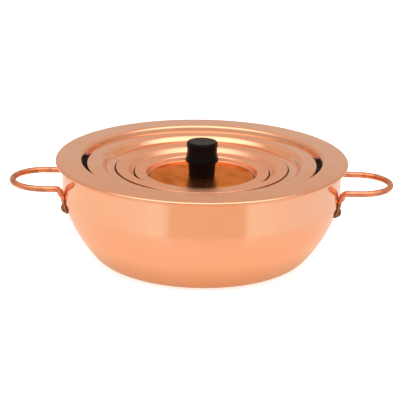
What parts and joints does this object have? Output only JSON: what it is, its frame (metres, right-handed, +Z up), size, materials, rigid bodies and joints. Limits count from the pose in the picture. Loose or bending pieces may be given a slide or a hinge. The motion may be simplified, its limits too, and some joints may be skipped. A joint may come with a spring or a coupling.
{
  "type": "copper water bath",
  "caption": "Round flat-bottomed copper water bath with wire handles, closed by nested concentric rings that lift off and a centre disc with a black knob.",
  "frame": {"origin": "centre of the bowl's flat base, on the surface that it stands on", "axes": "+Z up along the axis of the bowl, +X through the right-hand handle, -Y towards the front"},
  "size_m": [0.2768, 0.21, 0.0864],
  "materials": {
    "bowl_copper": "spun and polished copper, satin to bright",
    "ring_copper": "spun and polished copper",
    "disc_copper": "polished copper with a warm tarnish",
    "wire_copper": "drawn copper wire, slightly darkened",
    "rivet_copper": "darkened copper",
    "fitting_brass": "turned brass",
    "black_knob": "black moulded phenolic, satin"
  },
  "bodies": {
    "vessel": {"bowl": "bowl_copper", "handle_left": "wire_copper", "handle_right": "wire_copper", "rivet_left_front": "rivet_copper", "rivet_left_rear": "rivet_copper", "rivet_right_front": "rivet_copper", "rivet_right_rear": "rivet_copper", "burr_left_front": "rivet_copper", "burr_left_rear": "rivet_copper", "burr_right_front": "rivet_copper", "burr_right_rear": "rivet_copper"},
    "top_ring": {"ring_1": "ring_copper"},
    "second_ring": {"ring_2": "ring_copper"},
    "third_ring": {"ring_3": "ring_copper"},
    "fourth_ring": {"ring_4": "ring_copper"},
    "lid_disc": {"centre_disc": "disc_copper", "knob": "black_knob", "knob_insert": "fitting_brass", "knob_screw": "fitting_brass", "knob_washer": "fitting_brass"}
  },
  "joints": [
    {"name": "top_ring_lift", "type": "slide", "parent": "vessel", "child": "top_ring", "axis": [0, 0, 1], "range_m": [0, 0.12]},
    {"name": "second_ring_lift", "type": "slide", "parent": "top_ring", "child": "second_ring", "axis": [0, 0, 1], "range_m": [0, 0.06]},
    {"name": "third_ring_lift", "type": "slide", "parent": "second_ring", "child": "third_ring", "axis": [0, 0, 1], "range_m": [0, 0.06]},
    {"name": "fourth_ring_lift", "type": "slide", "parent": "third_ring", "child": "fourth_ring", "axis": [0, 0, 1], "range_m": [0, 0.06]},
    {"name": "disc_lift", "type": "slide", "parent": "fourth_ring", "child": "lid_disc", "axis": [0, 0, 1], "range_m": [0, 0.06]}
  ]
}
